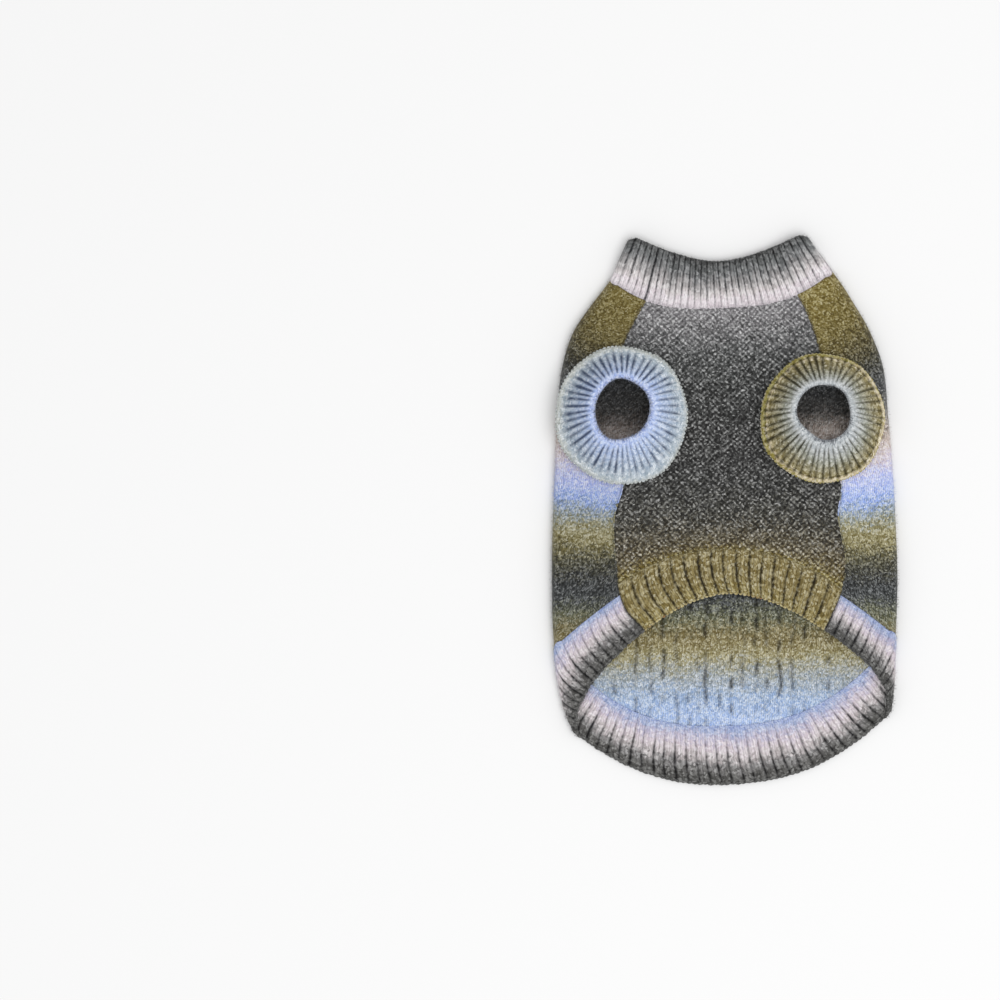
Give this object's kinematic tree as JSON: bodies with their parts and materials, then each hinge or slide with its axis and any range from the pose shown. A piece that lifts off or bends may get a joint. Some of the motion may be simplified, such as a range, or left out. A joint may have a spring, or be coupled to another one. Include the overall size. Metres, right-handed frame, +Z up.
{
  "type": "dog sweater",
  "caption": "Knitted dog sweater lying flat on its back: ribbed collar, short gathered leg sleeves, belly panel and curved ribbed hem.",
  "frame": {"origin": "on the surface the sweater lies on, under the middle of its outline", "axes": "+Z up, from the back that lies on the surface to the belly side that faces up; +Y towards the collar; +X to the wearer's left, which is the right of the picture"},
  "size_m": [0.195, 0.31, 0.019],
  "materials": {
    "back_knit": "space-dyed cable knit",
    "hem_rib": "space-dyed rib knit",
    "belly_knit": "marled moss-stitch knit",
    "belly_rib": "olive rib knit",
    "collar_rib": "space-dyed rib knit",
    "sleeve_rib_blue": "pale blue rib knit",
    "sleeve_rib_olive": "olive rib knit"
  },
  "bodies": {
    "root": {"back": "back_knit", "back_hem": "hem_rib", "belly": "belly_knit", "belly_hem": "belly_rib", "collar": "collar_rib", "sleeve_left": "sleeve_rib_blue", "sleeve_right": "sleeve_rib_olive"}
  },
  "joints": []
}
